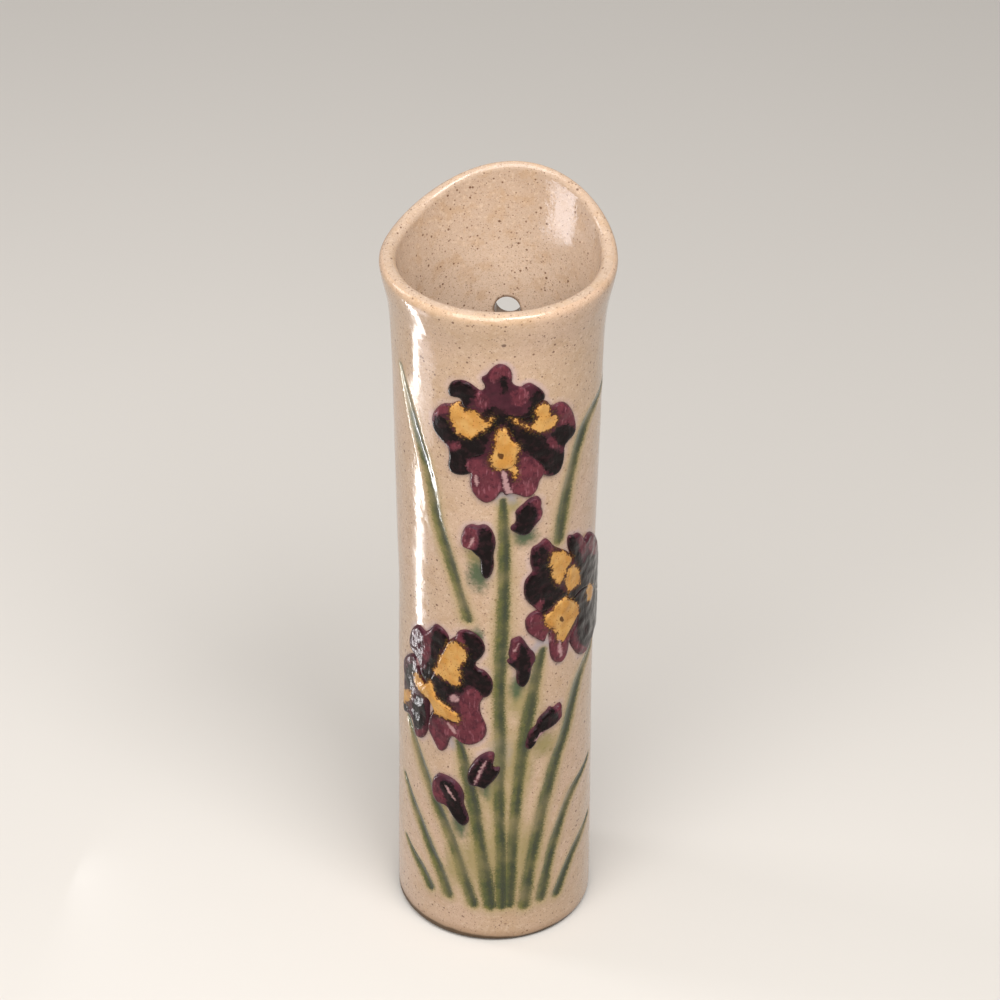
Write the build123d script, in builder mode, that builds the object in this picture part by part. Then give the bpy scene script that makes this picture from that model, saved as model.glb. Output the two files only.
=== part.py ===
"""Hanging wall vase: a hand-built stoneware tube with applied pansies and buds.

Millimetres and degrees. +Z is up, the front of the vase faces -Y and the back
goes against the wall. The origin is the centre of the face it stands on.
Places round the wall are angles from the front, positive towards +X.
"""
from build123d import *
import math
import os

os.makedirs("parts", exist_ok=True)

# The tube
front_height = 236.0
foot_radius = 30.2
rim_radius = 34.9
wall_thickness = 4.5

# The floor inside the tube
base_thickness = 6.0

# The hole for the nail
hole_radius = 3.9
hole_drop = 36.0

# Applied flowers and buds
flower_radius = 22.0
bud_radius = 8.0
petal_rise = 1.3
throat_rise = 1.8
bud_rise = 1.6

# How far a cutter runs past what it cuts
cut_overrun = 4.0

# The waist, as shares of the foot radius and of the front height
waist_radius_share = 0.9735
waist_height_share = 0.475

# The mouth: how much of the flare is reached at the shoulder and below the rim
shoulder_flare_share = 0.327
lip_flare_share = 0.673

# Drops from the rim and the rise of its back, as shares of the rim radius
shoulder_drop_share = 0.86
lip_drop_share = 0.372
back_rise_share = 0.361
back_radius_share = 1.02

# Thickness at the rim and roundings, as shares of the wall thickness
rim_thickness_share = 0.933
back_thickness_share = 0.778
rim_rounding_share = 0.3
foot_rounding_share = 0.556

profile_steps = 1000

waist_radius = waist_radius_share * foot_radius
waist_height = waist_height_share * front_height
flare = rim_radius - waist_radius
shoulder_radius = waist_radius + shoulder_flare_share * flare
shoulder_height = front_height - shoulder_drop_share * rim_radius
lip_radius = waist_radius + lip_flare_share * flare
lip_height = front_height - lip_drop_share * rim_radius
back_radius = back_radius_share * rim_radius
top_height = front_height + back_rise_share * rim_radius
hole_height = front_height - hole_drop
rim_thickness = rim_thickness_share * wall_thickness
back_thickness = back_thickness_share * wall_thickness
rim_rounding = rim_rounding_share * wall_thickness
foot_rounding = foot_rounding_share * wall_thickness


def wall_profile(stock):
    """Points up one side of the wall, stock thinner than the outside by each thickness."""
    body, rim, back = stock
    return [
        (waist_radius - body, waist_height),
        (shoulder_radius - body, shoulder_height),
        (lip_radius - (body + rim) / 2, lip_height),
        (rim_radius - rim, front_height),
        (back_radius - back, top_height),
    ]


outer_points = [(foot_radius, 0)] + wall_profile((0, 0, 0))
inner_points = [(foot_radius - wall_thickness, base_thickness)] + wall_profile(
    (wall_thickness, rim_thickness, back_thickness)
)

# The solid shape of the outside, which trims the backs of everything applied to it
with BuildPart() as vessel_core:
    with BuildSketch(Plane.YZ):
        with BuildLine():
            outer_line = Spline(*outer_points)
            Polyline(outer_points[-1], (0, top_height), (0, 0), outer_points[0])
        make_face()
    revolve(axis=Axis.Z)

outer_samples = [outer_line @ (step / profile_steps) for step in range(profile_steps + 1)]


def wall_radius(height):
    """Outer radius of the tube at a height."""
    return min(outer_samples, key=lambda point: abs(point.Y - height)).X


def on_wall(angle, height, outset):
    """A point at an angle and a height, outset from the outside of the wall."""
    reach = wall_radius(height) + outset
    turn = math.radians(angle)
    return Vector(reach * math.sin(turn), -reach * math.cos(turn), height)


# Wall: the flared tube, cut high at the back, with the nail hole
with BuildPart() as wall:
    with BuildSketch(Plane.XZ):
        with BuildLine():
            Spline(*outer_points)
            Line(outer_points[-1], inner_points[-1])
            Spline(*inner_points)
            Polyline(inner_points[0], (inner_points[0][0], 0), outer_points[0])
        make_face()
    revolve(axis=Axis.Z)
    fillet(wall.edges().group_by(Axis.Z)[0].sort_by(SortBy.RADIUS)[-1], radius=foot_rounding)
    with BuildSketch(Plane.YZ):
        with BuildLine():
            reach = back_radius + cut_overrun
            level = Line((-reach, front_height), (0, front_height))
            swoop = TangentArc((0, front_height), (back_radius, top_height), tangent=(1, 0))
            Polyline(swoop @ 1, (reach, top_height + cut_overrun), (-reach, top_height + cut_overrun), level @ 0)
        make_face()
    extrude(amount=reach, both=True, mode=Mode.SUBTRACT)
    rim_edges = wall.edges().filter_by(GeomType.LINE, reverse=True).filter_by(
        lambda edge: edge.bounding_box().min.Z > front_height - rim_rounding
    )
    fillet(rim_edges, radius=rim_rounding)
    with BuildSketch(Plane.XZ):
        with Locations((0, hole_height)):
            Circle(hole_radius)
    extrude(amount=-reach, mode=Mode.SUBTRACT)
wall.part.label = "wall"
export_step(wall.part, "parts/wall.step")

# Base disc: the floor of the vase, let into the foot of the tube
with BuildPart() as base_disc:
    with BuildSketch():
        Circle(foot_radius - wall_thickness)
    extrude(amount=base_thickness)
base_disc.part.label = "base_disc"
export_step(base_disc.part, "parts/base_disc.step")

# Flowers: angle of the middle, its height as a share of the front height, and
# each petal's lobes as shares of the flower radius: across, up, radius of the lobe
flower_shares = {
    "top_flower": {
        "angle": 5.4,
        "height_share": 0.836,
        "throat": [(0.055, -0.22, 0.14), (0.08, -0.38, 0.17), (0.07, -0.53, 0.16)],
        "lower_petal": [(-0.19, -0.98, 0.22), (-0.16, -0.80, 0.20), (0.37, -0.89, 0.24), (0.26, -0.72, 0.22),
                        (0.07, -0.62, 0.25), (0.10, -0.80, 0.16)],
        "left_petal": [(-0.82, -0.01, 0.155), (-0.76, -0.19, 0.16), (-0.50, 0.02, 0.20), (-0.26, -0.06, 0.17),
                       (-0.50, -0.58, 0.23), (-0.38, -0.32, 0.23), (-0.56, -0.30, 0.17)],
        "right_petal": [(0.92, -0.06, 0.155), (0.93, -0.24, 0.15), (0.60, 0.08, 0.19), (0.36, -0.08, 0.16),
                        (0.74, -0.62, 0.20), (0.54, -0.42, 0.24), (0.74, -0.32, 0.18), (0.70, -0.12, 0.17)],
        "upper_petal": [(0.03, 0.75, 0.17), (0.0, 0.56, 0.18), (-0.55, 0.48, 0.15), (-0.36, 0.42, 0.15),
                        (-0.17, 0.36, 0.20), (0.19, 0.36, 0.21), (0.48, 0.48, 0.14), (0.0, 0.12, 0.18)],
    },
    "left_flower": {
        "angle": -24.0,
        "height_share": 0.411,
        "throat": [(-0.30, -0.09, 0.14), (-0.16, -0.31, 0.16), (0.03, -0.50, 0.16)],
        "lower_petal": [(0.40, -0.28, 0.22), (0.43, -0.56, 0.22), (0.22, -0.46, 0.21), (-0.17, -0.90, 0.18),
                        (-0.08, -0.66, 0.19), (0.10, -0.62, 0.18)],
        "left_petal": [(-0.76, -0.02, 0.15), (-0.58, -0.14, 0.16), (-0.76, -0.30, 0.12), (-0.56, -0.68, 0.16),
                       (-0.56, -0.86, 0.15), (-0.50, -0.46, 0.15), (-0.40, -0.24, 0.14)],
        "right_petal": [(0.34, 0.82, 0.20), (0.52, 0.15, 0.21), (0.05, 0.48, 0.21), (0.20, 0.30, 0.21),
                        (0.24, 0.62, 0.17), (0.36, 0.02, 0.16)],
        "upper_petal": [(-0.30, 0.66, 0.18), (-0.22, 0.44, 0.17), (-0.62, 0.53, 0.14), (-0.52, 0.36, 0.13),
                        (-0.32, 0.22, 0.17), (-0.12, -0.04, 0.19)],
    },
    "right_flower": {
        "angle": 51.1,
        "height_share": 0.549,
        "throat": [(-0.03, -0.16, 0.14), (-0.15, -0.36, 0.19)],
        "lower_petal": [(-0.52, -0.36, 0.20), (-0.34, -0.50, 0.18), (-0.16, -0.80, 0.18), (-0.15, -0.95, 0.15),
                        (-0.18, -0.60, 0.20), (-0.44, -0.20, 0.14)],
        "left_petal": [(-0.48, 0.74, 0.18), (-0.42, 0.90, 0.11), (-0.56, 0.27, 0.21), (-0.46, 0.50, 0.18),
                       (-0.20, 0.57, 0.19), (-0.12, 0.32, 0.16), (-0.30, 0.08, 0.16)],
        "right_petal": [(0.78, 0.22, 0.17), (0.86, -0.18, 0.18), (0.56, -0.18, 0.20), (0.36, -0.80, 0.18),
                        (0.43, -0.48, 0.20), (0.70, 0.02, 0.16)],
        "upper_petal": [(0.03, 0.76, 0.13), (0.18, 0.80, 0.13), (0.48, 0.60, 0.17), (0.08, 0.50, 0.16),
                        (0.28, 0.42, 0.20), (0.44, 0.24, 0.18), (0.22, 0.08, 0.20)],
    },
}

# Buds: angle, height as a share of the front height, lobes as shares of the bud radius
bud_shares = {
    "upper_left_bud": (-4.0, 0.640, [(-0.42, 0.56, 0.37), (0.20, 0.62, 0.36), (0.21, -0.08, 0.40),
                                     (0.15, -0.74, 0.32)]),
    "upper_right_bud": (23.0, 0.678, [(-0.12, 0.22, 0.45), (-0.30, -0.31, 0.33), (0.29, 0.69, 0.31)]),
    "middle_bud": (17.5, 0.466, [(0.11, -0.04, 0.41), (-0.10, 0.56, 0.35), (0.36, -0.31, 0.30),
                                 (0.19, -0.80, 0.28)]),
    "lower_right_bud": (36.0, 0.352, [(0.0, 0.06, 0.36), (0.40, 0.48, 0.31), (-0.40, -0.42, 0.30)]),
    "lower_middle_bud": (0.5, 0.288, [(0.0, 0.04, 0.41), (0.43, 0.48, 0.33), (-0.43, -0.45, 0.35)]),
    "lower_left_bud": (-22.0, 0.229, [(0.0, 0.04, 0.40), (-0.38, 0.46, 0.37), (0.32, -0.48, 0.34)]),
}

# The pieces of a flower from the top one down, and how far each stands off the wall
petal_rises = {
    "throat": throat_rise,
    "lower_petal": petal_rise,
    "left_petal": petal_rise,
    "right_petal": petal_rise,
    "upper_petal": petal_rise,
}


def vessel_solid(rise):
    """The outside of the vessel as one solid, thicker all round by a rise."""
    with BuildPart() as solid:
        with BuildSketch(Plane.YZ):
            with BuildLine():
                Spline((foot_radius + rise, 0), *wall_profile((-rise, -rise, -rise)))
                Polyline((back_radius + rise, top_height), (0, top_height), (0, 0), (foot_radius + rise, 0))
            make_face()
        revolve(axis=Axis.Z)
    return solid.part


outer_solids = {rise: vessel_solid(rise) for rise in (petal_rise, throat_rise, bud_rise)}


def lobed_outline(size, radius, lobe_shares, earlier_outlines):
    """The flat outline of a piece seen square on, less the pieces that lie over it."""
    with BuildSketch() as outline:
        for across_share, up_share, radius_share in lobe_shares:
            across = radius * math.sin(across_share * size / radius)
            with Locations((across, up_share * size)):
                Circle(radius_share * size)
        for earlier in earlier_outlines:
            add(earlier, mode=Mode.SUBTRACT)
    return outline.faces().sort_by(SortBy.AREA)[-1]


def meets(first, second):
    """Whether the boxes of two shapes reach each other."""
    a, b = first.bounding_box(), second.bounding_box()
    return (
        a.min.X < b.max.X and b.min.X < a.max.X
        and a.min.Y < b.max.Y and b.min.Y < a.max.Y
        and a.min.Z < b.max.Z and b.min.Z < a.max.Z
    )


def lay_on_wall(name, angle, height, outline, rise, neighbours):
    """Cut a piece to its outline, bend it to the wall, trim it to its neighbours and write it."""
    turn = math.radians(angle)
    facing = Plane(
        origin=on_wall(angle, height, cut_overrun),
        x_dir=(math.cos(turn), math.sin(turn), 0),
        z_dir=(math.sin(turn), -math.cos(turn), 0),
    )
    with BuildPart() as piece:
        with BuildSketch(facing):
            add(outline)
        extrude(amount=-cut_overrun - wall_radius(height) / 2)
        add(outer_solids[rise], mode=Mode.INTERSECT)
        add(vessel_core.part, mode=Mode.SUBTRACT)
        for neighbour in neighbours:
            if meets(piece.part, neighbour):
                add(neighbour, mode=Mode.SUBTRACT)
    piece.part.label = name
    export_step(piece.part, f"parts/{name}.step")
    return piece.part


laid = []

for flower_name, flower in flower_shares.items():
    flower_height = flower["height_share"] * front_height
    outlines = []
    pieces = []
    for petal, rise in petal_rises.items():
        outline = lobed_outline(flower_radius, wall_radius(flower_height), flower[petal], outlines)
        outlines.append(outline)
        pieces.append(lay_on_wall(f"{flower_name}_{petal}", flower["angle"], flower_height, outline, rise, laid))
    laid.extend(pieces)

for bud_name, (bud_angle, bud_height_share, bud_lobe_shares) in bud_shares.items():
    bud_height = bud_height_share * front_height
    outline = lobed_outline(bud_radius, wall_radius(bud_height), bud_lobe_shares, [])
    laid.append(lay_on_wall(bud_name, bud_angle, bud_height, outline, bud_rise, laid))
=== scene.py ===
"""Looks of a hanging stoneware vase with applied pansies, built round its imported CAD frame."""

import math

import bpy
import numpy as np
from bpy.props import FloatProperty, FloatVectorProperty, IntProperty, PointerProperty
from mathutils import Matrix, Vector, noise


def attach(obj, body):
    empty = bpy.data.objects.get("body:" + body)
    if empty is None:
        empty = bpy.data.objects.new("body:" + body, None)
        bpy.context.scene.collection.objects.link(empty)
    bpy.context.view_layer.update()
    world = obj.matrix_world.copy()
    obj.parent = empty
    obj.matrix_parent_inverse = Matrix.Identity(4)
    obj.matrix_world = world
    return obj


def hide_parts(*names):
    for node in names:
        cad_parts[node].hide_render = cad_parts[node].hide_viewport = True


bl_info = {
    "name": "Hanging Pansy Vase",
    "version": (1, 0, 0),
    "blender": (4, 5, 0),
    "location": "View3D > Sidebar > Vase",
    "description": "Builds a glazed stoneware wall vase with applied pansies on its CAD frame",
    "category": "Object",
}

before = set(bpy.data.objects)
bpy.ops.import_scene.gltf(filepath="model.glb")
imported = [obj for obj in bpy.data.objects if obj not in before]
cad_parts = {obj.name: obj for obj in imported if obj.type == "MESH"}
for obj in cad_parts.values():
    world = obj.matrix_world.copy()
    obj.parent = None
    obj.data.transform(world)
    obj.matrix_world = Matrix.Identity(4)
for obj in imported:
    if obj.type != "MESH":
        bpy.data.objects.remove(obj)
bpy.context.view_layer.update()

MM = 0.001

# Outside of the tube by height, in millimetres: height, radius
OUTSIDE = [(0, 30.2), (16, 30.3), (49, 29.9), (88, 29.6), (119, 29.5), (149, 30.0), (178, 30.6),
           (206, 31.1), (213, 31.35), (218, 31.75), (223, 32.35), (227, 33.25), (231, 34.2), (234, 34.6),
           (249, 34.75)]

# How far along the wall that profile is softened
SOFTENING = 0.0019

# Scratched stems: width share, then angles from the front and heights in millimetres, tip first
STEMS = [
    (0.9, [(-58.3, 206.1), (-49.5, 195.7), (-34.4, 175.4), (-29.5, 158.5), (-19.6, 143.2),
            (-10.9, 125.5)]),
    (1.0, [(94.3, 194.9), (66.3, 192.2), (53.9, 180.0), (46.2, 163.2), (44.1, 151.6)]),
    (0.95, [(9.4, 169.8), (10.8, 155.1), (10.5, 139.3), (10.1, 123.1), (8.7, 107.0), (8.3, 88.8),
            (9.5, 79.9), (9.1, 70.2), (8.6, 61.3), (9.3, 49.9), (10.6, 32.4), (10.3, 15.1)]),
    (1.0, [(34.6, 111.8), (32.2, 107.8), (27.5, 92.2), (24.0, 82.3), (21.3, 69.1), (19.1, 56.0),
            (16.9, 39.2), (14.9, 15.7)]),
    (1.1, [(87.0, 100.6), (67.0, 97.9), (57.2, 85.1), (53.0, 77.9), (43.9, 66.8), (37.1, 53.5),
            (32.7, 43.0), (27.2, 28.8), (24.3, 14.7)]),
    (0.95, [(80.5, 57.6), (63.2, 54.1), (53.8, 48.6), (46.6, 39.6), (39.6, 28.3), (35.0, 15.6)]),
    (0.85, [(82.0, 34.2), (66.1, 30.2), (54.2, 23.6), (46.3, 14.7)]),
    (1.1, [(-15.5, 78.1), (-11.8, 68.6), (-6.9, 55.9), (-3.3, 42.4), (0.3, 29.1), (3.9, 15.1)]),
    (1.0, [(-56.2, 76.8), (-42.5, 63.3), (-31.3, 51.3), (-24.2, 43.9), (-17.6, 35.3), (-12.0, 24.3),
            (-6.5, 15.2)]),
    (0.95, [(-61.8, 52.2), (-47.0, 42.7), (-36.4, 32.7), (-27.4, 24.8), (-21.9, 16.8)]),
    (0.85, [(-59.8, 28.2), (-46.7, 23.5), (-40.3, 20.9), (-35.4, 16.8)]),
]

# How wide a stem is at its tip, as a share of its width
TIP_SHARE = 0.55

# Pieces of a flower, from the front one back: each tucks under those before it
PETALS = ("throat", "lower_petal", "left_petal", "right_petal", "upper_petal")

# Each flower's place, the outline of each piece and those of the brushed patches; its pale patches are
# painted highlights, not glaze.
# Outlines run as across, up, across, up, in hundredths of the flower radius from its middle.
FLOWERS = {
    "top_flower": {
        "angle": 5.4, "height": 0.836,
        "dot": [[2, -43, 6, -41, 11, -45, 9, -52, 4, -51]],
        "throat": [0, -6, 5, 0, 14, -4, 18, -12, 21, -24, 29, -29, 30, -39, 28, -51, 26, -67, 14, -71, 0,
            -69, -7, -64, -7, -52, -3, -39, -1, -23],
        "lower_petal": [-38, -56, -31, -49, -19, -44, 0, -34, 22, -35, 37, -44, 50, -54, 63, -66, 70, -78,
            66, -90, 60, -97, 58, -110, 51, -119, 41, -122, 29, -115, 20, -111, 13, -116, 8, -107, 4, -115,
            -1, -122, -11, -128, -20, -125, -29, -116, -34, -105, -35, -91, -33, -80, -40, -72, -42, -63],
        "left_petal": [-57, 26, -64, 23, -72, 21, -81, 12, -88, 0, -90, -13, -87, -26, -81, -33, -73, -40,
            -66, -44, -64, -54, -64, -65, -66, -74, -63, -84, -55, -88, -43, -87, -31, -81, -19, -69, -8,
            -54, 0, -39, 4, -22, 6, -1, 0, 13, -7, 19, -14, 16, -19, 29, -28, 32, -36, 28, -43, 29, -49,
            32, -54, 29],
        "right_petal": [55, 28, 60, 32, 68, 29, 74, 19, 79, 18, 84, 20, 94, 18, 103, 9, 111, -5, 116, -23,
            117, -37, 111, -45, 101, -49, 97, -55, 98, -70, 95, -85, 90, -94, 81, -97, 68, -94, 52, -77,
            37, -56, 23, -37, 17, -19, 14, 1, 16, 14, 28, 15, 42, 13, 50, 20],
        "upper_petal": [5, 99, 13, 96, 19, 88, 21, 77, 20, 67, 26, 61, 33, 59, 37, 63, 44, 64, 51, 58, 60,
            49, 66, 39, 64, 32, 57, 30, 52, 23, 53, 12, 54, 3, 46, 3, 38, 2, 28, 1, 21, -5, 6, -8, -6, 3,
            -14, 9, -20, 13, -23, 22, -31, 24, -38, 19, -43, 22, -46, 30, -47, 37, -55, 36, -63, 37, -65,
            46, -61, 58, -54, 64, -42, 67, -34, 64, -27, 59, -20, 53, -15, 57, -15, 63, -19, 69, -19, 76,
            -13, 79, -9, 87, -2, 96],
        "black": [
            [-62, 36, -65, 47, -59, 60, -51, 64, -40, 66, -32, 60, -25, 54, -28, 45, -33, 37, -36, 27, -39,
             20, -44, 23, -46, 37, -54, 37],
            [-19, 15, -14, 25, -3, 32, 8, 27, 21, 16, 36, 15, 43, 28, 44, 44, 50, 51, 57, 51, 66, 39, 63,
             31, 55, 28, 51, 18, 54, 3, 42, 0, 32, 8, 23, 10, 28, -2, 42, -10, 54, -14, 66, -25, 65, -35,
             72, -47, 88, -57, 98, -65, 96, -85, 86, -97, 71, -86, 58, -63, 44, -47, 32, -38, 25, -26, 19,
             -12, 14, 1, 5, 3, 0, -6, -8, -13, -14, -31, -18, -49, -28, -52, -38, -56, -41, -67, -34, -76,
             -35, -86, -52, -88, -65, -81, -65, -65, -63, -52, -54, -48, -42, -39, -45, -31, -57, -33, -73,
             -40, -86, -28, -84, -7, -74, 5, -63, 0, -57, -13, -45, -22, -31, -19, -17, -7, -7, 2, -11, 9],
            [6, 79, 12, 79, 15, 71, 13, 59, 9, 49, 6, 55, 6, 67],
            [87, -14, 107, -23, 116, -38, 101, -48, 90, -52, 79, -32, 72, -23],
        ],
        "magenta": [
            [-34, -92, -32, -79, -40, -72, -41, -63, -32, -56, -19, -53, -11, -54, -8, -71, 3, -71, 9, -96,
             6, -112, -1, -122, -11, -127, -21, -124, -29, -116],
            [33, -50, 43, -52, 56, -64, 68, -78, 66, -90, 60, -97, 57, -110, 50, -119, 35, -118, 23, -111,
             19, -96, 26, -85, 31, -69],
            [-89, -9, -87, 2, -79, 15, -68, 22, -57, 23, -60, 12, -71, 8, -81, -3, -86, -17],
            [79, 16, 91, 19, 104, 8, 115, -17, 115, -31, 102, -29, 85, -17, 84, 1],
            [67, -30, 77, -30, 88, -41, 88, -53, 75, -47, 68, -39],
            [-57, -47, -59, -38, -50, -29, -41, -28, -42, -39, -51, -49],
            [-7, 87, -1, 97, 12, 96, 19, 86, 20, 73, 13, 82, 4, 80, -2, 70, -9, 73],
            [22, 57, 35, 59, 41, 53, 41, 39, 30, 30, 20, 38, 17, 51],
            [-25, 54, -15, 50, -7, 44, -11, 30, -19, 26, -28, 40],
        ],
        "yellow": [
            [-60, 21, -54, 28, -49, 31, -44, 23, -38, 19, -28, 25, -22, 18, -17, 9, -11, 9, -7, 16, -3, 14,
             -5, 6, -11, -2, -19, -9, -28, -18, -39, -21, -50, -19, -55, -7, -60, 5],
            [52, 24, 59, 30, 70, 25, 72, 16, 69, 10, 77, 6, 83, -1, 82, -9, 72, -16, 60, -18, 48, -11, 36,
             -4, 28, 5, 16, 12, 25, 12, 33, 4, 42, -2, 51, 1, 54, 8, 50, 16],
            [0, -8, 6, -1, 13, -4, 17, -12, 20, -24, 28, -30, 30, -39, 27, -51, 26, -69, 29, -83, 24, -86,
             20, -72, 12, -68, -1, -69, -7, -63, -7, -53, -3, -41, -1, -25],
        ],
        "pale": [
            [7, -71, 13, -70, 17, -93, 22, -107, 19, -112, 11, -105, 8, -87],
            [-28, -81, -24, -78, -21, -97, -26, -101],
        ],
    },
    "left_flower": {
        "angle": -24.0, "height": 0.411,
        "throat": [-29, 0, -23, 7, -18, 2, -17, -7, -12, -15, -5, -20, 4, -24, 13, -28, 21, -31, 24, -39,
            21, -50, 13, -52, 3, -48, -7, -49, -15, -49, -20, -40, -25, -30, -31, -27, -38, -24, -42, -17,
            -37, -7],
        "lower_petal": [3, -23, 21, -1, 30, 11, 39, 19, 49, 15, 56, 7, 55, -3, 50, -11, 50, -24, 53, -36,
            58, -47, 60, -59, 57, -71, 48, -81, 37, -87, 27, -87, 20, -84, 14, -78, 10, -79, 5, -89, 3,
            -101, -3, -111, -11, -111, -16, -103, -23, -92, -29, -84, -30, -72, -26, -55, -18, -39],
        "left_petal": [-87, -6, -85, 9, -70, 24, -58, 30, -48, 28, -44, 17, -38, 8, -33, -2, -27, -12, -26,
            -27, -27, -44, -27, -62, -29, -81, -34, -97, -42, -109, -53, -110, -58, -99, -61, -85, -70,
            -82, -81, -88, -87, -80, -87, -61, -84, -39, -85, -20],
        "right_petal": [-21, 20, -15, 35, -10, 51, -4, 68, 3, 83, 9, 90, 15, 95, 16, 102, 22, 108, 32, 111,
            42, 107, 51, 99, 56, 88, 57, 79, 52, 67, 45, 60, 43, 52, 48, 47, 55, 46, 62, 38, 67, 29, 68,
            16, 65, 5, 59, -1, 48, -2, 35, -13, 25, -32, 14, -32, 3, -28, -10, -24, -19, -16, -26, -5, -26,
            8],
        "upper_petal": [-68, 44, -69, 54, -64, 70, -56, 82, -46, 86, -39, 83, -34, 82, -30, 88, -23, 98,
            -16, 105, -7, 103, 1, 97, 5, 89, 5, 81, 2, 72, -3, 57, -6, 37, -10, 19, -15, 4, -24, -4, -33,
            -2, -40, 4, -45, 13, -49, 28, -57, 32, -65, 36],
        "black": [
            [-16, 91, -11, 101, -1, 96, 5, 87, -1, 74, -7, 59, -12, 44, -16, 27, -21, 17, -6, 18, 5, 13,
             16, 12, 24, 19, 22, 34, 26, 51, 31, 65, 34, 79, 32, 92, 27, 101, 32, 110, 43, 107, 51, 98, 56,
             88, 56, 77, 49, 65, 43, 58, 43, 50, 50, 44, 60, 38, 66, 27, 66, 13, 59, 3, 53, 7, 47, 17, 38,
             21, 30, 14, 25, 5, 14, 2, 6, -5, 3, -17, 13, -25, 21, -29, 14, -32, 0, -26, -11, -18, -18, -7,
             -20, 3, -31, 2, -38, 8, -33, 24, -24, 38, -21, 52, -22, 66, -20, 80],
            [-48, -33, -38, -31, -33, -41, -31, -62, -34, -81, -46, -92, -56, -91, -58, -74, -57, -54],
            [-78, -12, -65, 10, -51, 16, -49, 4, -57, -23, -70, -37, -77, -27],
            [-86, -66, -73, -63, -70, -79, -81, -87],
        ],
        "magenta": [
            [-36, 79, -27, 90, -19, 91, -21, 78, -22, 65, -21, 52, -26, 39, -34, 32, -38, 43, -35, 64],
            [25, -3, 34, 13, 43, 17, 53, 7, 54, -1, 49, -13, 49, -27, 56, -46, 59, -60, 52, -78, 37, -86,
             23, -85, 14, -76, 3, -85, 3, -101, -4, -111, -13, -108, -22, -92, -21, -62, -7, -50, 12, -52,
             22, -44, 26, -30, 22, -23],
            [-53, -98, -34, -81, -33, -93, -42, -108, -51, -109],
            [16, 101, 22, 106, 27, 101, 31, 92, 25, 89, 17, 95],
            [-29, -71, -21, -60, -21, -86, -27, -82],
        ],
        "yellow": [
            [-17, 25, -13, 36, -7, 54, -1, 68, 6, 83, 14, 90, 23, 89, 31, 79, 32, 69, 27, 55, 22, 42, 25,
             29, 22, 16, 14, 15, 3, 18, -7, 22],
            [-29, -1, -23, 7, -19, 1, -17, -7, -12, -16, -4, -21, 4, -25, 13, -29, 20, -32, 23, -40, 20,
             -49, 13, -50, 3, -47, -7, -47, -15, -47, -19, -38, -24, -30, -31, -25, -38, -24, -46, -21,
             -55, -15, -57, -2, -48, 6, -40, 0, -34, -6],
            [-84, -49, -70, -39, -58, -34, -60, -45, -73, -66, -83, -67],
        ],
        "pale": [
            [9, -4, 20, 0, 23, -7, 16, -17, 7, -14],
            [3, -52, 9, -52, 17, -65, 21, -70, 14, -71, 8, -64],
            [-55, 33, -45, 32, -42, 18, -48, 18],
        ],
    },
    "right_flower": {
        "angle": 51.1, "height": 0.549,
        "dot": [[-18, -28, -13, -28, -10, -34, -12, -38, -17, -34]],
        "throat": [-13, 2, -5, 2, 5, -10, 19, -27, 23, -41, 16, -49, 7, -58, -1, -69, -10, -80, -19, -70,
            -24, -48, -32, -42, -40, -32, -43, -21, -36, -14, -28, -7, -20, -1],
        "lower_petal": [-66, -19, -58, -9, -45, -7, -28, -4, 2, -17, 23, -45, 22, -62, 9, -68, 6, -81, 4,
            -96, -2, -108, -11, -113, -21, -107, -27, -95, -29, -79, -30, -63, -31, -50, -34, -55, -37,
            -67, -47, -59, -56, -50, -63, -42, -66, -30],
        "left_petal": [-60, 95, -58, 102, -51, 104, -46, 107, -42, 111, -38, 111, -32, 104, -26, 93, -16,
            85, -1, 73, 8, 58, 5, 46, 1, 30, 1, 10, -2, -4, -18, -3, -27, -11, -37, -16, -45, -16, -51, -5,
            -57, 2, -63, 9, -68, 21, -69, 34, -67, 48, -61, 55, -56, 61, -60, 71, -61, 84],
        "right_petal": [17, -2, 32, -3, 52, -11, 102, -55, 102, -78, 102, -98, 87, -112, 69, -115, 57,
            -120, 49, -126, 37, -127, 25, -118, 15, -103, 7, -87, 4, -72, 6, -55, 5, -34, 2, -12],
        "upper_petal": [-3, 96, 1, 99, 9, 94, 16, 94, 23, 90, 30, 80, 34, 71, 40, 77, 54, 73, 70, 58, 84,
            34, 95, 7, 102, -19, 102, -39, 102, -58, 76, -52, 48, -41, 27, -30, 6, -14, -9, 0, -12, 14,
            -10, 32, -5, 47, 3, 53, 4, 64, -2, 80],
        "black": [
            [-49, 103, -40, 101, -36, 87, -33, 70, -30, 54, -27, 37, -22, 27, -15, 16, -5, 7, 9, 3, 23, 7,
             18, 29, 11, 46, 4, 64, -2, 80, -3, 95, 7, 95, 14, 77, 18, 57, 30, 34, 37, 46, 48, 36, 85, 11,
             102, -39, 102, -58, 94, -94, 80, -108, 62, -110, 45, -114, 29, -103, 19, -80, 19, -60, 24,
             -44, 18, -26, 4, -8, -5, 3, -13, 2, -24, -1, -31, -7, -42, -14, -45, -4, -40, 6, -44, 17, -55,
             6, -64, 11, -69, 25, -68, 43, -61, 54, -51, 58, -48, 71, -50, 89],
            [-58, 94, -53, 99, -50, 87, -51, 70, -57, 72, -59, 84],
        ],
        "magenta": [
            [-45, 106, -42, 111, -38, 110, -33, 104, -27, 93, -30, 85, -37, 89, -40, 100],
            [14, 86, 22, 90, 29, 80, 33, 66, 33, 51, 26, 51, 17, 69],
            [40, 68, 53, 73, 69, 57, 80, 34, 80, 16, 55, 33, 39, 54],
            [-57, 3, -48, 13, -41, 19, -38, 5, -44, -7, -50, -11, -56, -5],
            [-66, -19, -58, -10, -45, -12, -38, -32, -32, -43, -34, -55, -37, -67, -56, -50, -64, -38],
            [-31, -42, -23, -49, -16, -74, -10, -77, -1, -67, 13, -56, 17, -64, 8, -71, 4, -94, -2, -108,
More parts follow.
